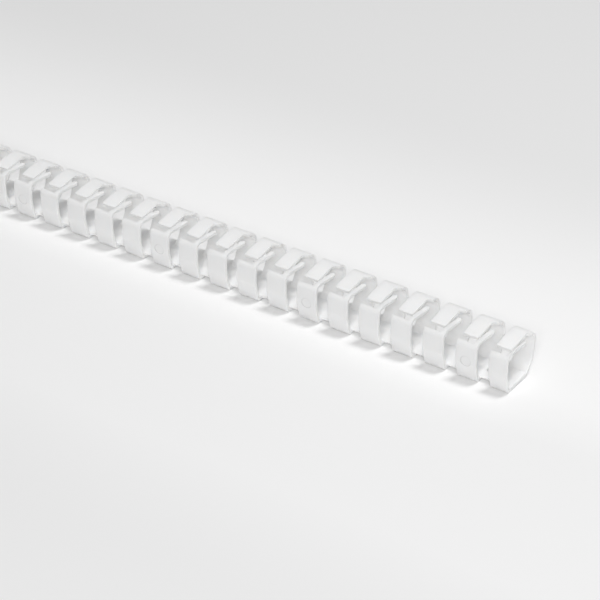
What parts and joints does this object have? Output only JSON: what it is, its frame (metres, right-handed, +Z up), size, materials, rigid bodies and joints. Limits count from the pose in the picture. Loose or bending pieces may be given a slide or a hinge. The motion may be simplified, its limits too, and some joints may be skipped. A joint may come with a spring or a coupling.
{
  "type": "cable spine",
  "caption": "One-piece white cable spine: open ribs on a flat backbone strip, each with a tongue and a finger that let cables in from above.",
  "frame": {"origin": "on the floor, in the middle of the spine's length and width", "axes": "+X along the spine towards its trimmed end, -Y towards the front, +Z up out of the flat underside"},
  "size_m": [0.379, 0.0296, 0.026],
  "materials": {
    "spine": "satin"
  },
  "bodies": {
    "root": {"spine": "spine"}
  },
  "joints": []
}
